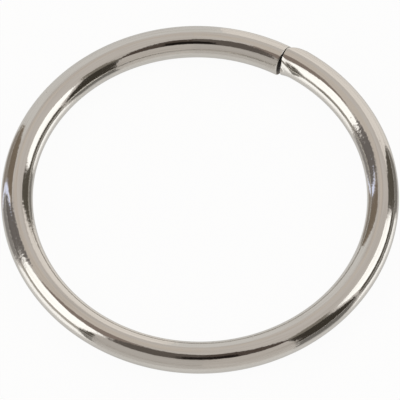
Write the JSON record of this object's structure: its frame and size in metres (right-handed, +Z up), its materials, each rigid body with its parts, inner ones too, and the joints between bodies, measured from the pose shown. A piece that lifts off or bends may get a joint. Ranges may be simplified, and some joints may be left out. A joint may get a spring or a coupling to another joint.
{
  "type": "metal o-ring",
  "caption": "Round wire ring lying flat, bent from plated steel wire with an open butt seam, for straps, bags, harness and hooks.",
  "frame": {"origin": "centre of the ring on the flat surface that it lies on", "axes": "+Z up, along the axis of the ring's eye; +Y from the centre to the seam; +X to the sheared end's side of the seam"},
  "size_m": [0.038, 0.038, 0.003],
  "materials": {
    "nickel_plate": "bright nickel plating on drawn steel wire, mirror-like, with faint drawing lines along the wire and a few small pits"
  },
  "bodies": {
    "root": {"ring": "nickel_plate"}
  },
  "joints": []
}
